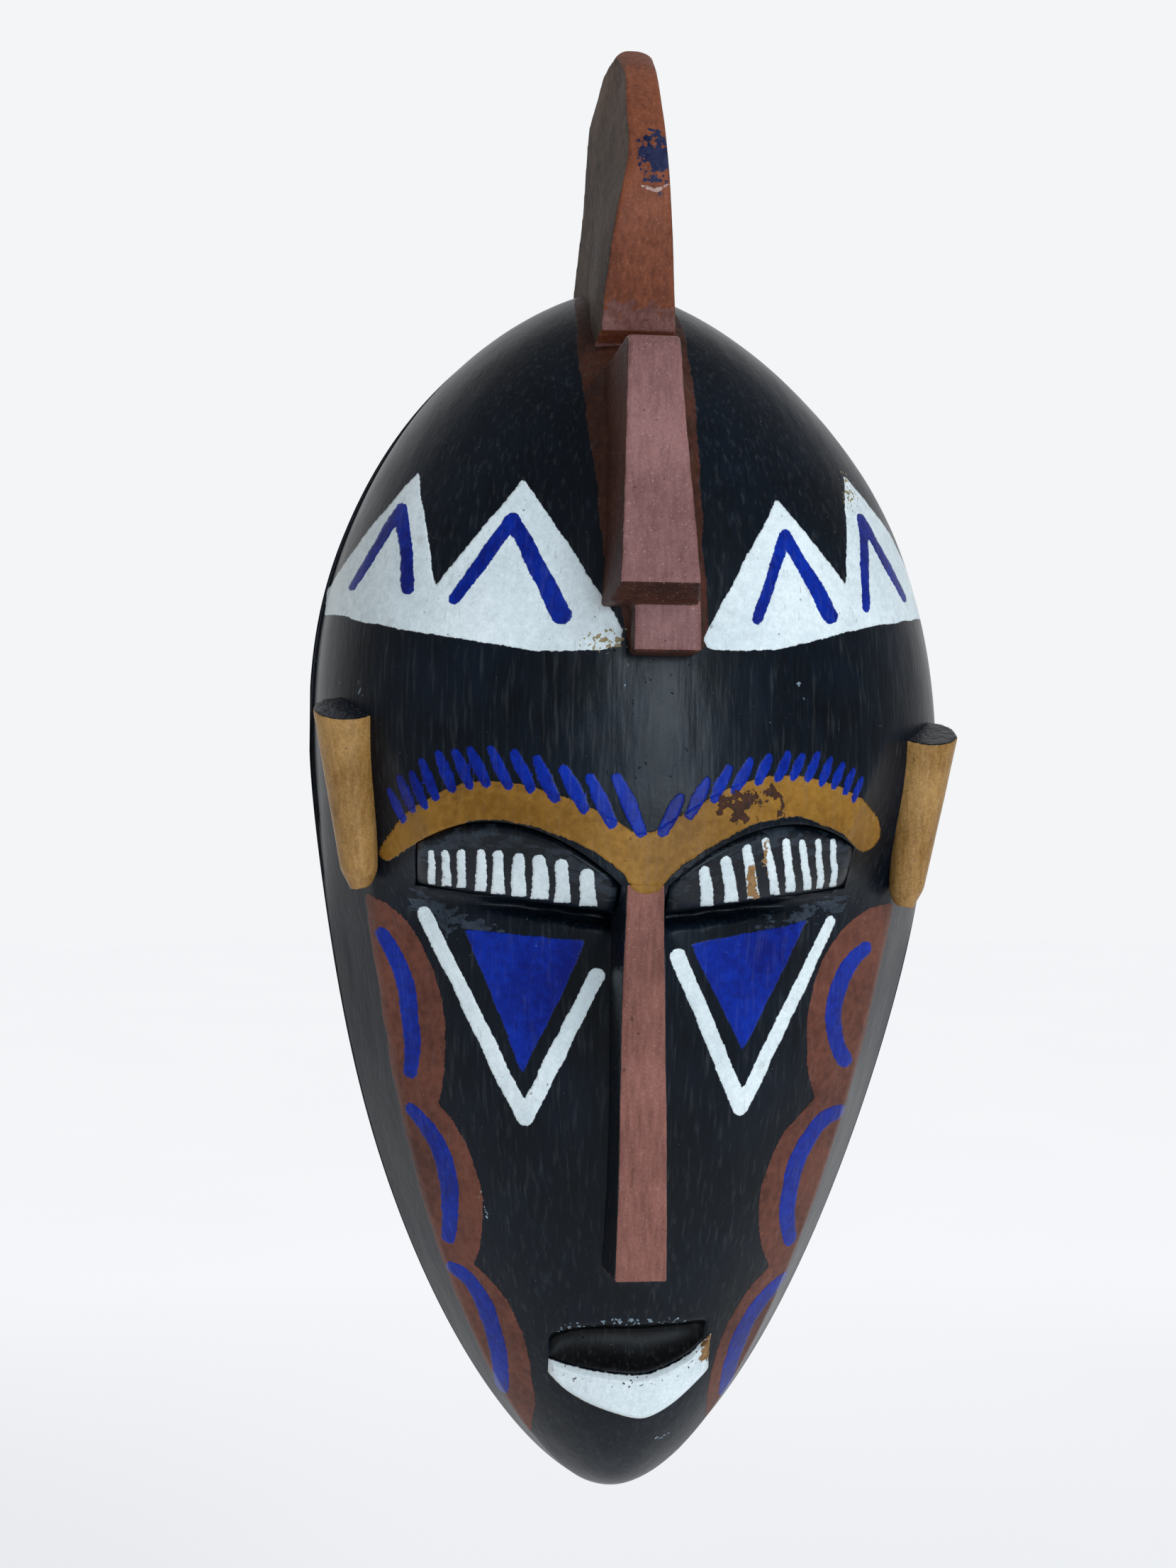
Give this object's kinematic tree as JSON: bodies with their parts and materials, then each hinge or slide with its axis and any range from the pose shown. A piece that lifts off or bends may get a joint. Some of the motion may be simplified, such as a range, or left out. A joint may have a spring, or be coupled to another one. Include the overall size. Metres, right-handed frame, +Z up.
{
  "type": "carved wall mask",
  "caption": "Hollow carved and painted wooden wall mask with a stepped crest, a tall horn, a long nose, lug ears and a swinging hanger ring.",
  "frame": {"origin": "the point on the rim's flat back face behind the crown that rests on the wall", "axes": "+Z up to the horn, -Y out of the face towards the viewer, +X to the viewer's right"},
  "size_m": [0.2123, 0.114, 0.4696],
  "materials": {
    "black_paint": "satin black paint on carved wood",
    "red_brown_paint": "matt red-brown paint on carved wood",
    "ochre_paint": "matt ochre paint on carved wood",
    "white_paint": "thick white paint on carved wood",
    "bare_wood": "bare pale wood",
    "zinc_steel": "zinc-plated steel"
  },
  "bodies": {
    "mask": {"face_shell": "black_paint", "crest_comb": "red_brown_paint", "crest_horn": "red_brown_paint", "nose_ridge": "red_brown_paint", "ear_left": "ochre_paint", "ear_right": "ochre_paint", "eyelid_left": "black_paint", "eyelid_right": "black_paint", "lower_lip": "white_paint", "hanger_strap": "zinc_steel", "strap_screw_upper": "zinc_steel", "strap_screw_lower": "zinc_steel", "comb_dowel_upper": "bare_wood", "comb_dowel_lower": "bare_wood", "horn_dowel": "bare_wood", "ear_dowel_left": "bare_wood", "ear_dowel_right": "bare_wood"},
    "ring": {"hanger_ring": "zinc_steel"}
  },
  "joints": [
    {"name": "ring_swing", "type": "hinge", "parent": "mask", "child": "ring", "pos_m": [0, -0.0034, -0.029], "axis": [1, 0, 0], "range_deg": [-80, 110]}
  ]
}
